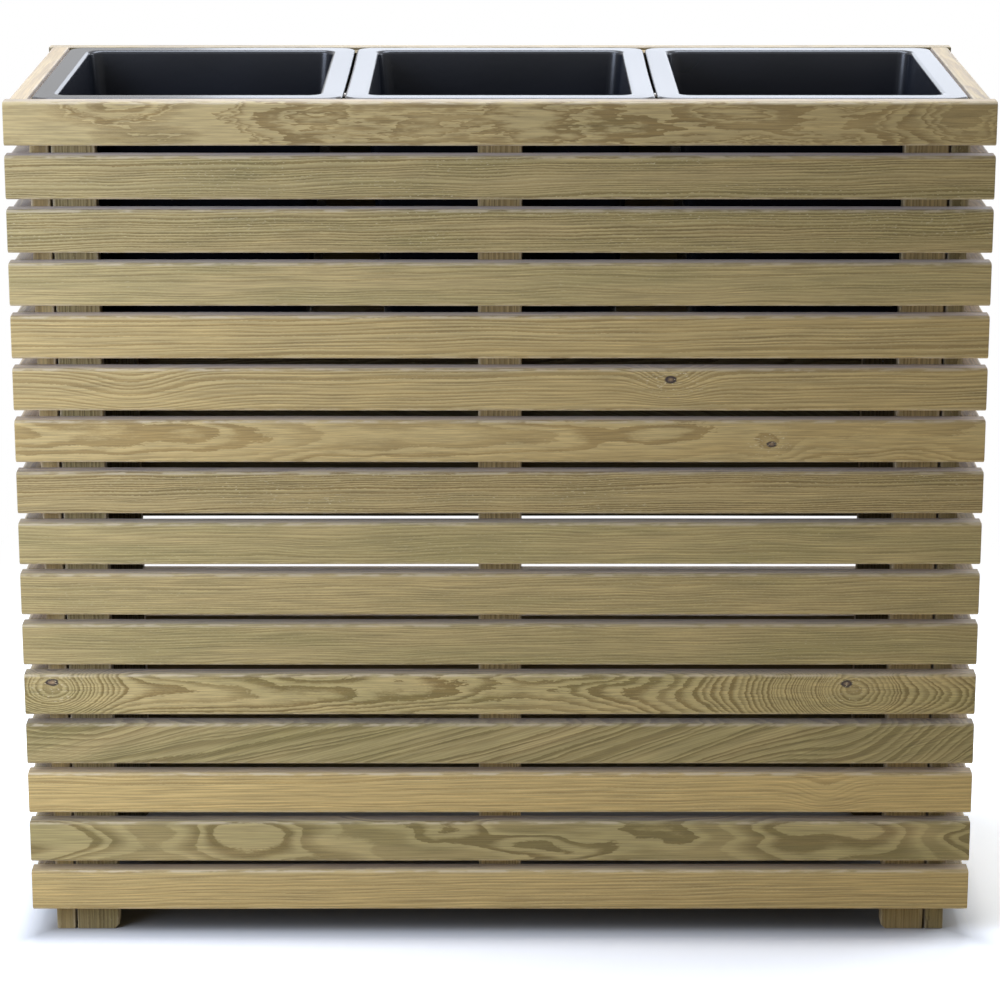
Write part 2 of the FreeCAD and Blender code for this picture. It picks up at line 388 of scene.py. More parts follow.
    def late_wood_share(self, add: Adder, radius: Socket, seed: Socket, cut: Socket, cast: Socket,
                        fuzz: Socket, patch: Socket) -> Socket:
        """Turns the radius to rings: a slow rise to dark late wood, then a sharp stop.

        Args:
            add: Adds a node to the material.
            radius: Distance from the pith.
            seed: The board's own random offset.
            cut: Ring width, wildness and bow of the board.
            cast: Contrast, tone and shade of the board.
            fuzz: Fine noise that makes the lines ragged.
            patch: Broad noise that fades the lines in places.

        Returns:
            Share of late wood, 0 to 1.
        """
        width, contrast, offset = [add("SeparateXYZ", (vector,)) for vector in (cut, cast, seed)]
        season = add("TexNoise", {
            "W": add("Math", (radius, 1 / self.ring_band, offset), "MULTIPLY_ADD"),
            "Scale": 1.0, "Detail": 1.0,
        }, noise_dimensions="1D")
        radius = add("Math", (fuzz, self.line_raggedness, radius), "MULTIPLY_ADD")
        count = add("Math", (radius, width), "DIVIDE")
        count = add("Math", (season, self.season_drift, count), "MULTIPLY_ADD")
        phase = add("Math", (count,), "FRACT")
        year = add("Math", (count,), "FLOOR")
        growth = add("TexWhiteNoise", {"W": add("Math", (year, offset), "ADD")}, noise_dimensions="1D")
        strength = add("MapRange", {"Value": growth, "To Min": 0.35, "To Max": 1.0})
        rise = add("MapRange", {"Value": phase, "From Min": 0.18, "From Max": 0.8}, **SMOOTH)
        stop = add("MapRange", {"Value": phase, "From Min": 0.9, "From Max": 1.0, "To Min": 1.0,
                                "To Max": 0.0}, **SMOOTH)
        shown = add("MapRange", {"Value": patch, "From Min": 0.3, "From Max": 0.65, "To Min": 0.62,
                                 "To Max": 1.35})
        late = rise
        for part in (stop, strength, shown):
            late = add("Math", (late, part), "MULTIPLY")
        late = add("Math", (late, self.late_fullness), "MULTIPLY", use_clamp=True)
        return add("Math", (late, contrast), "MULTIPLY")

    def edge_masks(self, add: Adder, board: Socket, half: Socket, ripple: Socket) -> tuple[Socket, Socket]:
        """Finds the sawn ends and the handled arrises of a board.

        Args:
            add: Adds a node to the material.
            board: Place from the board's centre.
            half: Half sizes of the board.
            ripple: Short noise that breaks the wear up into dashes.

        Returns:
            The mask of the ends and the mask of the worn arrises.
        """
        reach = add("VectorMath", (board,), "ABSOLUTE")
        inside = add("VectorMath", (half, reach), "SUBTRACT")
        from_end, from_edge, from_face = add("SeparateXYZ", (inside,)).node.outputs
        ends = add("MapRange", {"Value": from_end, "From Min": 0.1, "From Max": 0.9, "To Min": 1.0,
                                "To Max": 0.0}, **SMOOTH)
        arris = add("Math", (from_edge, from_face), "MAXIMUM")
        wear = add("MapRange", {"Value": arris, "From Min": 0.9, "From Max": 4.0, "To Min": 0.85,
                                "To Max": 0.0}, **SMOOTH)
        dashes = add("MapRange", {"Value": ripple, "From Min": 0.42, "From Max": 0.58, "To Min": 0.15},
                     **SMOOTH)
        return ends, add("Math", (wear, dashes), "MULTIPLY")

    def painted_shade_masks(self, add: Adder, board: Socket, half: Socket, surface: Socket) -> tuple[Socket, Socket]:
        """Finds the painted shade: darker towards a post's foot by the floor, and darker on each board's
        inner face.

        Args:
            add: Adds a node to the material.
            board: Place from the board's centre.
            half: Half sizes of the board.
            surface: Specks, raggedness and the height of the painted shade at the board's foot.

        Returns:
            The mask of the painted shade at a post's foot, 0 on a board that is clear of the floor, and the
            mask of the painted shade on the inner face.
        """
        from_low = add("VectorMath", (board, half), "ADD")
        height, _, from_inside = add("SeparateXYZ", (from_low,)).node.outputs
        # Painted shade on the inner face, which looks into the dark box.
        inner_shade = add("MapRange", {"Value": from_inside, "From Max": self.inner_shade_reach, "To Min": 1.0,
                                 "To Max": 0.0}, **SMOOTH)
        # Painted shade at a post's foot, darker towards the floor.
        reach = add("SeparateXYZ", (surface,), output=2)
        under_shade_top = add("Math", (reach, height), "SUBTRACT")
        foot_shade = add("Math", (under_shade_top, 1 / self.foot_shade_fade), "MULTIPLY", use_clamp=True)
        return foot_shade, inner_shade

    def torn_fibre_mask(self, add: Adder, fuzz: Socket, patch: Socket, surface: Socket,
                        torn_ring: Socket) -> Socket:
        """Finds the pale specks where the planer has lifted the grain.

        Args:
            add: Adds a node to the material.
            fuzz: Fine noise.
            patch: Broad noise that keeps the specks in patches.
            surface: How much of this the board has.
            torn_ring: The mask of the torn grain round the knots.

        Returns:
            The mask of the specks.
        """
        amount = add("SeparateXYZ", (surface,))
        specks = add("MapRange", {"Value": fuzz, "From Min": 0.62, "From Max": 0.78})
        zone = add("MapRange", {"Value": patch, "From Min": 0.44, "From Max": 0.6})
        zone = add("Math", (zone, amount, torn_ring), "MULTIPLY_ADD")
        return add("Math", (specks, zone), "MULTIPLY", use_clamp=True)


@dataclass(frozen=True)
class BlackPlastic:
    """Black polypropylene sheet, drawn into a mould while hot.

    The sheet keeps a gloss on its free side, with a slight orange peel where it stretched. The eye sees near
    black with a cold sky shine on the flange, and a faint haze of dust and rubbing inside.
    """

    name: str = "thermoformed_black_polypropylene"
    body: str = "#13161C"
    haze: str = "#1B1E25"
    peel_size: float = 9.0
    peel_depth: float = 0.25
    haze_size: float = 85.0

    def material(self) -> Material:
        """Builds the finish.

        Returns:
            The material.
        """
        material = new_material(self.name)
        add = partial(add_node, material.node_tree)
        place = add("TexCoord", output="Object")
        peel, haze = [
            add("TexNoise", {"Vector": place, "Scale": 1 / (size * MM), "Detail": 1.0})
            for size in (self.peel_size, self.haze_size)
        ]
        dusty = add("MapRange", {"Value": haze, "From Min": 0.25, "From Max": 0.8}, **SMOOTH)
        colour = add("Mix", {0: dusty, 6: linear(self.body), 7: linear(self.haze)}, **COLOUR_MIX)
        normal = add("Bump", {"Strength": 0.2, "Distance": self.peel_depth * MM, "Height": peel})
        shader = add("BsdfPrincipled", {
            "Base Color": colour, "Roughness": 0.25, "IOR": 1.49, "Normal": normal,
        })
        add("OutputMaterial", {"Surface": shader})
        return material


@dataclass(frozen=True)
class ZincPlatedSteel:
    """Drawn steel, bright zinc plated. The eye sees a pale blue-grey metal with small dull crystals."""

    name: str = "zinc_plated_steel"
    bright: str = "#B9BDC0"
    dull: str = "#8C8F90"
    crystal_size: float = 1.2
    crystal_depth: float = 0.05

    def material(self) -> Material:
        """Builds the finish.

        Returns:
            The material.
        """
        material = new_material(self.name)
        add = partial(add_node, material.node_tree)
        place = add("TexCoord", output="Object")
        crystal = add("TexNoise", {"Vector": place, "Scale": 1 / (self.crystal_size * MM), "Detail": 3.0})
        colour = add("Mix", {0: crystal, 6: linear(self.bright), 7: linear(self.dull)}, **COLOUR_MIX)
        roughness = add("MapRange", {"Value": crystal, "To Min": 0.28, "To Max": 0.5})
        normal = add("Bump", {"Strength": 0.2, "Distance": self.crystal_depth * MM, "Height": crystal})
        shader = add("BsdfPrincipled", {
            "Base Color": colour, "Metallic": 1.0, "Roughness": roughness, "Normal": normal,
        })
        add("OutputMaterial", {"Surface": shader})
        return material


class Lay(Enum):
    """Which way a board lies: the axes of its length, width and thickness."""

    LONG_RAIL = (0, 2, 1)
    SIDE_RAIL = (1, 2, 0)
    LONG_POST = (2, 0, 1)
    SIDE_POST = (2, 1, 0)


@dataclass(frozen=True)
class Cut:
    """How a board was cut from its log, in millimetres, and how strongly its figure shows."""

    pith_across: float
    pith_depth: float
    drift: float
    dive: float
    ring_width: float
    wildness: float
    bow: float
    contrast: float
    tone: float
    shade: float
    specks: float
    ragged: float


class Figure(Enum):
    """Named kinds of figure on the planter's boards."""

    BLOTCHY = Cut(4, 60, 0.0, 0.02, 8.5, 62.0, 20.0, 0.85, 0.35, 0.98, 0.1, 18.0)
    FINE = Cut(95, 12, 0.012, 0.004, 3.1, 9.0, 0.0, 0.85, 0.1, 0.98, 0.6, 2.0)
    STRAIGHT = Cut(70, 10, 0.012, 0.005, 4.4, 9.0, 0.0, 0.7, 0.45, 1.11, 0.2, 1.0)
    PLAIN = Cut(110, 30, 0.005, 0.01, 2.8, 12.0, 0.0, 0.52, 0.08, 1.06, 0.25, 1.5)
    PALE = Cut(70, 10, 0.012, 0.005, 4.0, 9.0, 0.0, 0.62, 0.7, 1.27, 0.15, 1.0)
    FLAT = Cut(10, 32, 0.01, 0.03, 4.5, 22.0, 0.0, 0.75, 0.5, 1.08, 0.1, 3.0)
    SWIRLED = Cut(6, 30, 0.0, 0.04, 3.4, 18.0, 0.0, 1.0, 0.05, 1.2, 0.2, 3.0)
    WAVY = Cut(-260, 20, 0.29, 0.0, 7.5, 18.0, -60.0, 0.85, -0.1, 1.02, 0.1, 3.0)
    CATHEDRAL = Cut(5, 46, 0.0, 0.0, 9.0, 48.0, 0.0, 1.0, -0.1, 1.04, 0.05, 3.0)


@dataclass(frozen=True)
class Knot:
    """A branch that the board's face cuts through, or with no radius a swirl over one, in millimetres."""

    along: float
    across: float
    radius: float
    lift: float
    reach: float
    breadth: float


NO_KNOT = Knot(along=0.0, across=0.0, radius=0.0, lift=0.0, reach=1.0, breadth=1.0)


@dataclass
class Board:
    """One planed length of pine with its own run of grain."""

    low: Vector
    high: Vector
    lay: Lay
    figure: Figure
    seed: int
    outer_side: int
    round_radius: float
    round_steps: int = 5
    ease_radius: float = 1.0 * MM
    ease_steps: int = 2
    foot_chamfer: float = 0.0
    foot_side: int = 0
    sections: int = 14
    wander: float = 0.35 * MM
    wander_rate: float = 5.0
    wander_strides: tuple[float, float] = (3.7, 1.3)
    # Height of the painted shade at a post's foot, 0 for none.
    foot_shade_height: float = 0.0
    ring_spread: tuple[float, float] = (0.88, 1.14)
    seed_reach: float = 60.0
    tone_reach: float = 0.15
    shade_spread: tuple[float, float] = (0.96, 1.04)
    turn: int = 1
    knots: tuple[Knot, ...] = ()

    def build(self, shape: Shape) -> None:
        """Adds the board to a mesh, with its grain.

        Args:
            shape: The mesh of the piece, which may already hold other boards.
        """
        done = shape.verts.layers.int.get("done") or shape.verts.layers.int.new("done")
        size = self.high - self.low
        middle = (self.low + self.high) / 2
        length, width, depth = self.lay.value
        place = Matrix.Translation(middle) @ Matrix.Diagonal((*size, 1.0))
        bmesh.ops.create_cube(shape, size=1.0, matrix=place)

        def runs(edge: bmesh.types.BMEdge, axis: int) -> bool:
            """Says if a fresh edge runs along an axis."""
            step = edge.verts[1].co - edge.verts[0].co
            return not edge.verts[0][done] and abs(step[axis]) > RUNS_ALONG * step.length

        def side(edge: bmesh.types.BMEdge, axis: int) -> float:
            """Gives the side of the middle that an edge lies on, from -1 to 1."""
            centre = (edge.verts[0].co + edge.verts[1].co) / 2
            return (centre[axis] - middle[axis]) / (size[axis] / 2)

        def ease(edges: list[bmesh.types.BMEdge], reach: float, steps: int) -> None:
            """Cuts edges off, flat or in steps that round them."""
            bmesh.ops.bevel(shape, geom=edges, offset=reach, affect="EDGES", segments=steps, profile=0.5,
                            material=-1)

        if self.foot_chamfer:
            foot = [e for e in shape.edges if runs(e, depth) and side(e, length) < -AT_SIDE
                    and side(e, width) * self.foot_side > AT_SIDE]
            ease(foot, self.foot_chamfer, 1)
        long_edges = [e for e in shape.edges if runs(e, length)]
        bmesh.ops.subdivide_edges(shape, edges=long_edges, cuts=self.sections - 1, use_grid_fill=True)
        outer = [e for e in shape.edges if runs(e, length) and side(e, depth) * self.outer_side > AT_SIDE
                 and abs(side(e, width)) > AT_SIDE]
        ease(outer, self.round_radius, self.round_steps)
        rest = [e for e in shape.edges if not e.verts[0][done] and e.calc_face_angle(0.0) > SHARP_ANGLE]
        ease(rest, self.ease_radius, self.ease_steps)
        self.unsettle(shape, done)
        self.write_grain(shape)

    def unsettle(self, shape: Shape, done: Any) -> None:
        """Lets the free faces wander as planed timber does, and leaves the faces that bear on others flat.

        Args:
            shape: The mesh of the piece.
            done: The layer that marks the boards that are finished.
        """
        _, width, depth = self.lay.value
        middle = (self.low + self.high) / 2
        half = (self.high - self.low) / 2
        shift = Vector((*(self.seed * stride for stride in self.wander_strides), 0.0))
        for vert in shape.verts:
            if vert[done]:
                continue
            outness = max(0.0, (vert.co[depth] - middle[depth]) * self.outer_side / half[depth])
            sway = noise.noise_vector(vert.co * self.wander_rate + shift) * self.wander
            vert.co[depth] += sway[0] * outness
            vert.co[width] += sway[1]

    def write_grain(self, shape: Shape) -> None:
        """Writes the board's own coordinates and its cut to the mesh, for the finish to read.

        Args:
            shape: The mesh of the piece.
        """
        chance = random.Random(self.seed)
        cut = self.figure.value
        stretch = chance.uniform(*self.ring_spread)
        axes = self.lay.value
        middle = (self.low + self.high) / 2
        half = (self.high - self.low) / 2
        missing = KNOTS_PER_BOARD - len(self.knots)
        knots = self.knots + (NO_KNOT,) * missing
        fixed = {
            "half": [half[axis] / MM for axis in axes],
            "seed": [chance.uniform(-self.seed_reach, self.seed_reach) for _ in axes],
            "cut": (cut.ring_width * stretch, cut.wildness, cut.bow),
            "cast": (cut.contrast, cut.tone + chance.uniform(-self.tone_reach, self.tone_reach),
                     cut.shade * chance.uniform(*self.shade_spread)),
            # The third value is the height of the painted shade at the board's foot.
            "surface": (cut.specks, cut.ragged, self.foot_shade_height / MM),
        }
        for index, knot in enumerate(knots):
            fixed[f"knot_{index}"] = (knot.along, knot.across, knot.radius)
            fixed[f"swirl_{index}"] = (1 / knot.reach, 1 / knot.breadth, knot.lift)
        store = shape.verts.layers.float_vector
        layers = {name: store.get(name) or store.new(name) for name in (*fixed, "board", "grain")}
        # New layers can move the old ones, so this one is looked up again.
        done = shape.verts.layers.int.get("done")
        for vert in shape.verts:
            if vert[done]:
                continue
            vert[done] = 1
            along, across, depth = [(vert.co[axis] - middle[axis]) / MM for axis in axes]
            outward = depth * self.outer_side
            vert[layers["board"]] = (along, across, outward)
            vert[layers["grain"]] = (
                along,
                across - self.turn * cut.pith_across * stretch - self.turn * cut.drift * along,
                outward + cut.pith_depth + cut.dive * along,
            )
            for name, values in fixed.items():
                vert[layers[name]] = values


@dataclass
class SlatPanels:
    """The front and back panels: sixteen long slats each, and the shorter slats of the two sides."""

    material: Material
    rows: int = 16
    edge_round: float = 4.0 * MM
    side_sections: int = 6
    long_reach: float = 450.0
    side_reach: float = 150.0
    knot_chance: float = 0.36
    knot_radii: tuple[float, float] = (3.5, 6.5)
    knot_across: float = 13.0
    knot_swirl: tuple[float, float, float] = (-5.0, 9.0, 6.0)
    slot: str = "slat_pine"
    front_figures: tuple[Figure, ...] = (
        Figure.BLOTCHY, Figure.FINE, Figure.FINE, Figure.PLAIN, Figure.STRAIGHT, Figure.STRAIGHT, Figure.FLAT,
        Figure.FINE, Figure.PLAIN, Figure.PLAIN, Figure.PLAIN, Figure.SWIRLED, Figure.WAVY, Figure.PALE,
        Figure.CATHEDRAL, Figure.PALE,
    )

    def front_knots(self, row: int) -> tuple[Knot, ...]:
        """Gives the knots and swirls that show on a front slat.

        Args:
            row: The row, counted from 1 at the top.

        Returns:
            The knots, up to three.
        """
        knots = {
            1: (Knot(475, 0, 0, -70, 75, 80), Knot(-360, 14, 0, 40, 130, 50)),
            6: (Knot(175, 11, 5.5, -18, 32, 22), Knot(-380, -6, 0, -14, 60, 30)),
            7: (Knot(280, -2, 4.5, -9, 22, 14),),
            12: (Knot(-470, 14, 5.5, -46, 52, 60), Knot(430, 0, 0, -110, 190, 100),
                 Knot(364, 12, 5.2, -50, 55, 55)),
            13: (Knot(395, -6, 0, 34, 90, 70), Knot(-430, 6, 0, 16, 70, 30)),
            14: (Knot(345, -2, 0, -14, 30, 22),),
            15: (Knot(-500, 0, 0, 34, 120, 40), Knot(-235, 4, 0, 30, 110, 32), Knot(345, 4, 0, 30, 120, 30)),
        }
        return knots.get(row, ())

    def build(self) -> Iterator[Piece]:
        """Builds every slat.

        Yields:
            The pieces, one for each CAD node.
        """
        chance = random.Random(SLAT_SEED)
        for panel, outer_side in (("front", -1), ("back", 1)):
            for row in range(1, self.rows + 1):
                node = f"{panel}_slat_{row:02d}"
                low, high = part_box(node)
                seed = chance.randrange(BOARD_SEEDS)
                front = panel == "front"
                figure = self.front_figures[row - 1] if front else chance.choice(list(Figure))
                knots = self.front_knots(row) if front else self.chance_knots(chance, self.long_reach)
                turn = 1 if front else chance.choice((-1, 1))
                shape = bmesh.new()
                Board(low, high, Lay.LONG_RAIL, figure, seed, outer_side, self.edge_round, turn=turn,
                      knots=knots).build(shape)
                yield finish_piece(shape, f"pine_{node}", self.material, FRAME_BODY, self.slot, (node,))
        for panel, outer_side in (("left", -1), ("right", 1)):
            node = f"{panel}_side_slats"
            shape = bmesh.new()
            for low, high in solid_boxes(node):
                figure = chance.choice(list(Figure))
                board = Board(low, high, Lay.SIDE_RAIL, figure, chance.randrange(BOARD_SEEDS), outer_side,
                              self.edge_round, sections=self.side_sections, turn=chance.choice((-1, 1)),
                              knots=self.chance_knots(chance, self.side_reach))
                board.build(shape)
            yield finish_piece(shape, f"pine_{node}", self.material, FRAME_BODY, self.slot, (node,))

    def chance_knots(self, chance: random.Random, reach: float) -> tuple[Knot, ...]:
        """Places a knot on about one slat in three.

        Args:
            chance: The random numbers.
            reach: How far from the middle a knot may lie, in millimetres.

        Returns:
            No knot, or one.
        """
        if chance.random() > self.knot_chance:
            return ()
        radius = chance.uniform(*self.knot_radii)
        along = chance.uniform(-reach, reach)
        across = chance.uniform(-self.knot_across, self.knot_across)
        return (Knot(along, across, radius, *(share * radius for share in self.knot_swirl)),)


@dataclass
class BattenFrame:
    """The upright battens that the slats are pinned to, and the ledgers between their heads."""

    material: Material
    arris: float = 1.5 * MM
    foot_chamfer: float = 5.0 * MM
    # Height of the painted shade at the foot of a corner or side batten.
    foot_shade_height: float = 65.0 * MM
    slot: str = "batten_pine"

    def build(self) -> Iterator[Piece]:
        """Builds every batten and ledger.

        Yields:
            The pieces, one for each CAD node.
        """
        chance = random.Random(BATTEN_SEED)
        for end, outer_side in (("front", -1), ("back", 1)):
            yield self.piece(f"{end}_centre_batten", Lay.LONG_POST, chance, outer_side)
            for hand, hand_side in (("left", -1), ("right", 1)):
                yield self.piece(f"{end}_{hand}_corner_batten", Lay.LONG_POST, chance, outer_side, -hand_side)
                yield self.piece(f"{end}_{hand}_side_batten", Lay.SIDE_POST, chance, hand_side, -outer_side)
                yield self.piece(f"{end}_{hand}_ledger", Lay.LONG_RAIL, chance, outer_side)
        for hand, hand_side in (("left", -1), ("right", 1)):
            yield self.piece(f"{hand}_side_ledger", Lay.SIDE_RAIL, chance, hand_side)

    def piece(self, node: str, lay: Lay, chance: random.Random, outer_side: int,
              foot_side: int = 0) -> Piece:
        """Builds one batten or ledger in the box of its node.

        Args:
            node: The CAD node.
            lay: Which way it lies.
            chance: The random numbers.
            outer_side: The side of its thickness that bears on the slats.
            foot_side: The side of its width whose lower corner is cut off, or 0.

        Returns:
            The piece.
        """
        low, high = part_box(node)
        figure = chance.choice((Figure.FINE, Figure.STRAIGHT, Figure.FINE))
        # Battens with a cut foot stand on the floor and get the painted foot shade.
        chamfer, foot_shade = (self.foot_chamfer, self.foot_shade_height) if foot_side else (0.0, 0.0)
        shape = bmesh.new()
        Board(low, high, lay, figure, chance.randrange(BOARD_SEEDS), outer_side, self.arris,
              foot_chamfer=chamfer, foot_side=foot_side, wander=0.0, foot_shade_height=foot_shade).build(shape)
        return finish_piece(shape, f"pine_{node}", self.material, FRAME_BODY, self.slot, (node,))


@dataclass
class Fixings:
    """The countersunk screws of the corners, and the brads, which stay as the CAD has them."""

    material: Material
    steps: int = 24
    shank_share: float = 0.53
    recess_share: float = 0.55
    recess_heart: float = 0.14
    recess_taper: float = 0.7
    recess_depth: float = 1.6 * MM
    rim_bevel: float = 0.06
    tip_length: float = 5.0 * MM
    slot: str = "fixing_steel"
    brad_nodes: tuple[str, ...] = (
        "front_brads", "back_brads", "left_side_brads", "right_side_brads", "ledger_brads",
    )

    def build(self) -> Iterator[Piece]:
        """Builds the screws and dresses the brads.

        Yields:
            The screws' piece, then the brads' nodes.
        """
        shape = bmesh.new()
        for low, high in solid_boxes("corner_screws"):
            screw = self.screw(low, high)
            shape.from_mesh(screw)
            bpy.data.meshes.remove(screw)
        yield finish_piece(shape, "zinc_corner_screws", self.material, FRAME_BODY, self.slot,
                           ("corner_screws",))
        for node in self.brad_nodes:
            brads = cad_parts[node]
            for slot in brads.material_slots:
                slot.material = self.material
            yield brads

    def screw(self, low: Vector, high: Vector) -> bpy.types.Mesh:
        """Makes one screw with a cross recess, its head on the side of the planter's middle.

        Args:
            low: Lowest corner of the screw's box.
            high: Highest corner of the screw's box.

        Returns:
            The screw's mesh, in place.
        """
        length = high.x - low.x
        head = (high.z - low.z) / 2
        shank = head * self.shank_share
        rim = head * self.rim_bevel
        outline = ((0, 0), (0, head * self.recess_heart), (0, head * self.recess_share), (0, head - rim),
                   (rim, head), (head - shank, shank), (length - self.tip_length, shank), (length, 0))
        shape = bmesh.new()
        verts = [shape.verts.new((along, radius, 0)) for along, radius in outline]
        edges = [shape.edges.new(pair) for pair in zip(verts, verts[1:])]
        bmesh.ops.spin(shape, geom=verts + edges, cent=(0, 0, 0), axis=(1, 0, 0), angle=math.tau,
                       steps=self.steps, use_merge=True)
        bmesh.ops.remove_doubles(shape, verts=shape.verts, dist=WELD)
        cross = [face for face in shape.faces if self.in_cross(face, head)]
        made = bmesh.ops.extrude_face_region(shape, geom=cross)["geom"]
        bmesh.ops.delete(shape, geom=cross, context="FACES_ONLY")
        recess = [item for item in made if isinstance(item, bmesh.types.BMVert)]
        bmesh.ops.translate(shape, verts=recess, vec=(self.recess_depth, 0, 0))
        bmesh.ops.scale(shape, verts=recess, vec=(1, self.recess_taper, self.recess_taper))
        bmesh.ops.recalc_face_normals(shape, faces=shape.faces)
        middle = (low + high) / 2
        points_right = middle.x > 0
        head_x = low.x if points_right else high.x
        turn = Matrix.Identity(4) if points_right else Matrix.Rotation(math.pi, 4, "Z")
        shape.transform(Matrix.Translation((head_x, middle.y, middle.z)) @ turn)
        mesh = bpy.data.meshes.new("screw")
        shape.to_mesh(mesh)
        shape.free()
        return mesh

    def in_cross(self, face: bmesh.types.BMFace, head: float) -> bool:
        """Says if a face of the head lies in the cross recess.

        Args:
            face: The face, of a screw about the X axis.
            head: Radius of the head.

        Returns:
            True for the faces to sink.
        """
        centre = face.calc_center_median()
        reach = math.hypot(centre.y, centre.z)
        if abs(centre.x) > WELD or reach > head * self.recess_share:
            return False
        quarter = math.atan2(centre.z, centre.y) % (math.pi / 2)
        step = math.tau / self.steps
        return reach < head * self.recess_heart or min(quarter, math.pi / 2 - quarter) < step


@dataclass
class Liner:
    """A lift-out liner: a drafted box whose flange rolls over at both edges. The draft is in degrees."""

    material: Material
    hand: str
    sags: tuple[int, ...]
    wall: float = 3.0 * MM
    flange: float = 24.0 * MM
    draft: float = 4.0
    corner: float = 12.0 * MM
    corner_steps: int = 8
    side_steps: int = 10
    rim_radius: float = 4.0 * MM
    lip_radius: float = 2.9 * MM
    lip_tuck: float = 0.6 * MM
    root_ease: float = 1.0 * MM
    base_radius: float = 7.0 * MM
    arc_steps: int = 5
    sag: float = 2.2 * MM
    slot: str = "liner_plastic"

    def profile(self, low: Vector, high: Vector) -> list[tuple[float, float]]:
        """Walks the section of the liner from the inner base edge over the flange to the outer base edge.

        Args:
            low: Lowest corner of the liner's box.
            high: Highest corner of the liner's box.

        Returns:
            Pairs of how far outside the mouth's straight edge, and how high.
        """
        slope = math.tan(math.radians(self.draft))
        top = high.z
        seat = top - self.wall
        floor = low.z + self.wall

        def arc(centre: tuple[float, float], radius: float, start: float,
                stop: float) -> list[tuple[float, float]]:
            """Gives the points of a quarter turn, angles in degrees from outwards to up."""
            angles = [math.radians(start + (stop - start) * step / self.arc_steps)
                      for step in range(self.arc_steps + 1)]
            return [(centre[0] + radius * math.cos(a), centre[1] + radius * math.sin(a)) for a in angles]

        def inner(z: float) -> float:
            """Gives the inner wall's offset at a height."""
            return (z - seat) * slope

        base = self.base_radius
        points = arc((inner(floor) - base, floor + base), base, -90, -self.draft)
        points += arc((self.rim_radius, top - self.rim_radius), self.rim_radius, 180 - self.draft, 90)
        points += arc((self.flange - self.lip_radius, top - self.lip_radius), self.lip_radius, 90, 0)
        root = self.root_ease
        points += [(self.flange - self.lip_tuck, seat), (self.wall + root, seat), (self.wall, seat - root)]
        outer_base = inner(low.z) + self.wall
        points += arc((outer_base - base, low.z + base), base, -self.draft, -90)
        return points

    def build(self) -> Iterator[Piece]:
        """Builds the liner ring by ring, from the middle of its base outwards and round the flange.

        Yields:
            The piece.
        """
        node = f"{self.hand}_liner"
        low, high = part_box(node)
        middle = (low + high) / 2
        mouth = Vector((high.x - middle.x - self.flange, high.y - middle.y - self.flange))
        points = self.profile(low, high)
        shape = bmesh.new()
        start, start_z = points[0]
        half = mouth + Vector((start, start))
        quad = bmesh.ops.create_grid(shape, x_segments=1, y_segments=1, size=1.0)["verts"]
        bmesh.ops.scale(shape, verts=quad, vec=(half.x, half.y, 1.0))
        bmesh.ops.bevel(shape, geom=quad, offset=self.corner, affect="VERTICES", segments=self.corner_steps,
                        profile=0.5, material=-1)
        straight = [e for e in shape.edges if e.calc_length() > 2 * self.corner]
        bmesh.ops.subdivide_edges(shape, edges=straight, cuts=self.side_steps - 1)
        bmesh.ops.translate(shape, verts=shape.verts, vec=(middle.x, middle.y, start_z))
        ring = [e for e in shape.edges if e.is_boundary]
        for offset, z in points[1:]:
            made = bmesh.ops.extrude_edge_only(shape, edges=ring)["geom"]
            ring = [item for item in made if isinstance(item, bmesh.types.BMEdge)]
            verts = [item for item in made if isinstance(item, bmesh.types.BMVert)]
            wider = mouth + Vector((offset, offset))
            bmesh.ops.scale(shape, verts=verts, vec=(wider.x / half.x, wider.y / half.y, 1.0),
                            space=Matrix.Translation((-middle.x, -middle.y, 0.0)))
            bmesh.ops.translate(shape, verts=verts, vec=(0.0, 0.0, z - verts[0].co.z))
            half = wider
        bmesh.ops.edgeloop_fill(shape, edges=ring)
        bmesh.ops.recalc_face_normals(shape, faces=shape.faces)
        self.let_flange_sag(shape, middle, mouth, high)
        yield finish_piece(shape, f"moulded_{node}", self.material, f"{self.hand}_liner_body", self.slot,
                           (node,))

    def let_flange_sag(self, shape: Shape, middle: Vector, mouth: Vector, high: Vector) -> None:
        """Lets the flange droop between its bearings, on the sides where no ledger is under it.

        Args:
            shape: The liner's mesh.
            middle: Centre of the liner's box.
            mouth: Half sizes of the mouth.
            high: Highest corner of the liner's box.
        """
        for vert in shape.verts:
            if vert.co.z < high.z - 2 * self.wall:
                continue
            offset = vert.co - middle
            out = abs(offset.x) - mouth.x
            side = 1 if offset.x > 0 else -1
            if side not in self.sags or out < 0:
                continue
            reach = min(1.0, out / self.flange)
            span = max(0.0, 1 - (offset.y / mouth.y) ** 2)
            vert.co.z -= self.sag * reach ** 2 * span


@dataclass(frozen=True)
class Softbox:
    """A rectangular soft light: its place, the point it faces, its width and height, watts and colour."""

    name: str
    place: Place
    aim: Place
    size: tuple[float, float]
    watts: float
    colour: str = "#E6EFFF"

    def build(self) -> None:
        """Adds the light, which the camera doesn't see."""
        lamp = bpy.data.lights.new(self.name, "AREA")
        lamp.shape = "RECTANGLE"
        lamp.size, lamp.size_y = self.size
        lamp.energy = self.watts
        lamp.color = linear(self.colour)[:3]
        holder = bpy.data.objects.new(self.name, lamp)
        holder.location = self.place
        holder.rotation_euler = (Vector(self.aim) - Vector(self.place)).to_track_quat("-Z", "Y").to_euler()
        holder.visible_camera = False
        bpy.context.scene.collection.objects.link(holder)


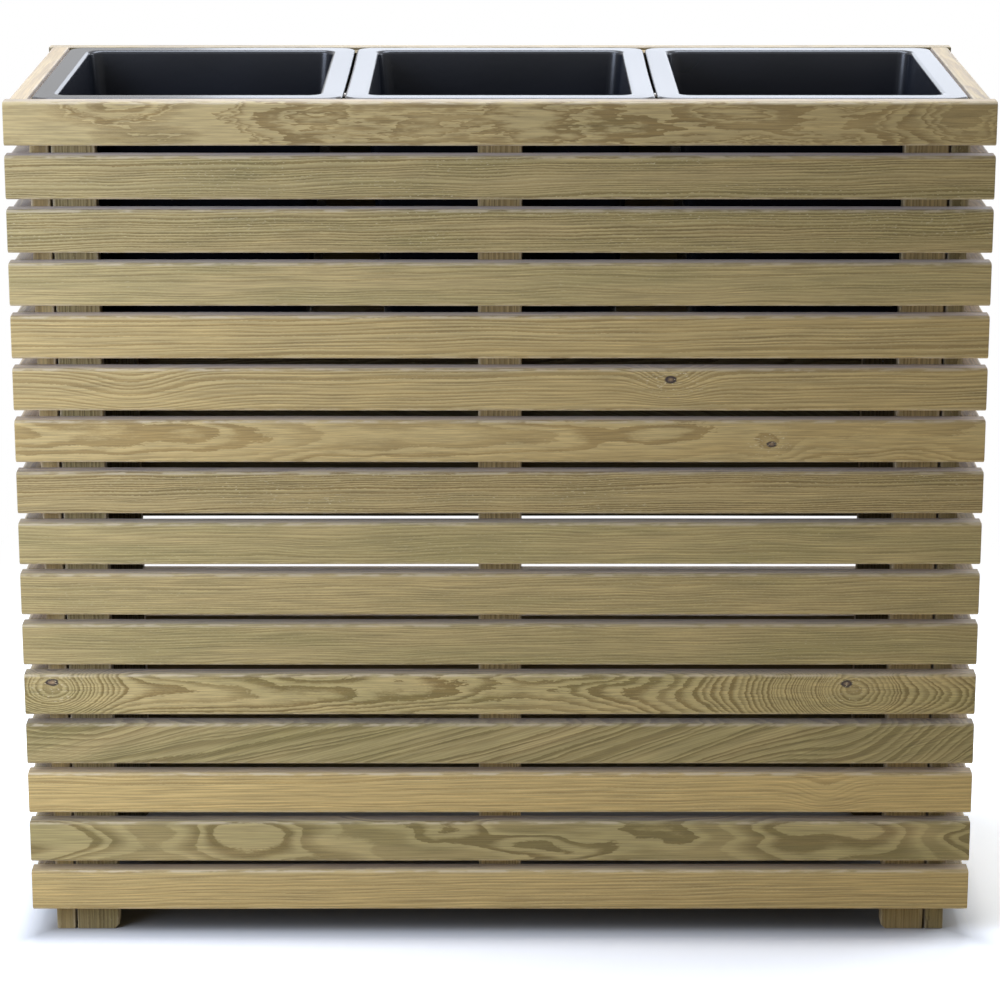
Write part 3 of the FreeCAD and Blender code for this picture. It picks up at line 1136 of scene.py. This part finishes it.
@dataclass
class Studio:
    """A plain pale floor, soft lights and a white surround."""

    floor_half: float = 40.0
    floor_colour: str = "#D2D2D0"
    bounce_colour: str = "#D4C491"
    floor_lift: float = 2.4
    # Painted shade: how dark the floor is seen inside the planter's outline.
    painted_inside_shade: float = 0.45
    lift_start: float = -0.04
    lift_end: float = 0.045
    white_near: float = 0.25
    white_far: float = 1.1
    surround_light: float = 0.095
    surround_colour: str = "#FFEAC4"
    lights: tuple[Softbox, ...] = (
        Softbox("key_softbox", (-1.45, -1.1, 1.1), (0.0, -0.1, 0.25), (0.9, 1.6), 44.0, "#D8E5FF"),
        Softbox("sky_softbox", (0.0, 0.25, 2.3), (0.0, 0.2, 0.9), (1.5, 0.9), 40.0),
        Softbox("back_softbox", (0.85, 3.6, 1.5), (0.3, 0.0, 0.9), (3.0, 1.5), 25.0),
        Softbox("fill_softbox", (2.4, 0.6, 1.2), (0.4, 0.1, 0.45), (1.4, 1.8), 34.0),
    )

    def build(self) -> None:
        """Builds the floor, the surround and the lights."""
        self.build_floor()
        self.build_surround()
        for light in self.lights:
            light.build()

    def background_rays(self, add: Adder) -> Socket:
        """Tells the rays that show the background: seen straight, mirrored or through glass.

        Args:
            add: Adds a node to the tree that asks.

        Returns:
            1 for those rays and 0 for the rays that light the object.
        """
        path = add("LightPath").node.outputs
        shown = add("Math", (path["Is Camera Ray"], path["Is Glossy Ray"]), "MAXIMUM")
        return add("Math", (shown, path["Is Transmission Ray"]), "MAXIMUM")

    def build_floor(self) -> None:
        """Builds the floor: it takes the shadow, is seen lifted to white outside the planter and darkened
        inside it as painted shade, and throws warm light back.
        """
        material = new_material("pale_studio_floor")
        add = partial(add_node, material.node_tree)
        seen = self.background_rays(add)
        place = add("TexCoord", output="Object")
        reach = add("VectorMath", (place,), "ABSOLUTE")
        outside = add("VectorMath", (reach, CAD_HIGH), "SUBTRACT")
        right, back = add("SeparateXYZ", (outside,)).node.outputs[:2]
        distance = add("Math", (right, back), "MAXIMUM")
        # Seen lift: white outside the planter, and darkened inside its outline and just round it, a painted
        # shade.
        lift_with_painted_shade = add("MapRange", {
            "Value": distance, "From Min": self.lift_start, "From Max": self.lift_end,
            "To Min": self.painted_inside_shade, "To Max": self.floor_lift,
        }, **SMOOTH)
        lifted = add("VectorMath", {0: linear(self.floor_colour)[:3], "Scale": lift_with_painted_shade}, "SCALE")
        colour = add("Mix", {0: seen, 6: linear(self.bounce_colour), 7: lifted}, **COLOUR_MIX)
        matt = add("BsdfDiffuse", {"Color": colour})
        white = add("Emission", {"Color": linear("#FFFFFF"), "Strength": 1.0})
        far = add("MapRange", {
            "Value": distance, "From Min": self.white_near, "From Max": self.white_far,
        }, **SMOOTH)
        far = add("Math", (far, seen), "MULTIPLY")
        mixed = add("MixShader", (far, matt, white))
        add("OutputMaterial", {"Surface": mixed})
        shape = bmesh.new()
        bmesh.ops.create_grid(shape, x_segments=1, y_segments=1, size=self.floor_half)
        floor = make_object(shape, "studio_floor", material)

    def build_surround(self) -> None:
        """Builds a surround that is seen white, and lights the object softly and warmer than the lamps."""
        world = bpy.data.worlds.new("white_surround")
        world.use_nodes = True
        tree = world.node_tree
        tree.nodes.clear()
        add = partial(add_node, tree)
        seen = self.background_rays(add)
        colour = add("Mix", {0: seen, 6: linear(self.surround_colour), 7: linear("#FFFFFF")}, **COLOUR_MIX)
        strength = add("MapRange", {"Value": seen, "To Min": self.surround_light, "To Max": 1.0})
        surround = add("Background", {"Color": colour, "Strength": strength})
        add("OutputWorld", {"Surface": surround})
        bpy.context.scene.world = world


@dataclass
class PhotoCamera:
    """The camera: straight in front, a little above the rim, as the photograph was taken."""

    sensor: float = 36.0
    lens: float = 126.0
    place: Place = (0.0, -3.69, 1.459)
    tilt: float = math.radians(15.59)

    def build(self) -> None:
        """Adds the camera and makes it the scene's own."""
        data = bpy.data.cameras.new("photo_camera")
        data.sensor_width = self.sensor
        data.lens = self.lens
        camera = bpy.data.objects.new("photo_camera", data)
        camera.location = self.place
        camera.rotation_euler = Euler((math.pi / 2 - self.tilt, 0.0, 0.0))
        bpy.context.scene.collection.objects.link(camera)
        bpy.context.scene.camera = camera


def main() -> None:
    """Builds the planter's pieces, the studio and the camera, and logs the faces of each piece."""
    logging.basicConfig(level=logging.INFO, format="%(name)s: %(message)s")
    # Without a seed of its own, this noise would start from the clock.
    noise.seed_set(NOISE_SEED)
    pine = TreatedPine().material()
    plastic = BlackPlastic().material()
    steel = ZincPlatedSteel().material()
    assemblies = (
        SlatPanels(pine),
        BattenFrame(pine),
        Fixings(steel),
        Liner(plastic, "left", (1,)),
        Liner(plastic, "middle", (-1, 1)),
        Liner(plastic, "right", (-1,)),
    )
    for assembly in assemblies:
        for piece in assembly.build():
            log.info("%s: %d faces", piece.name, len(piece.data.polygons))
    Studio().build()
    PhotoCamera().build()
    bpy.context.scene.view_settings.view_transform = "Standard"


if __name__ == "__main__":
    main()
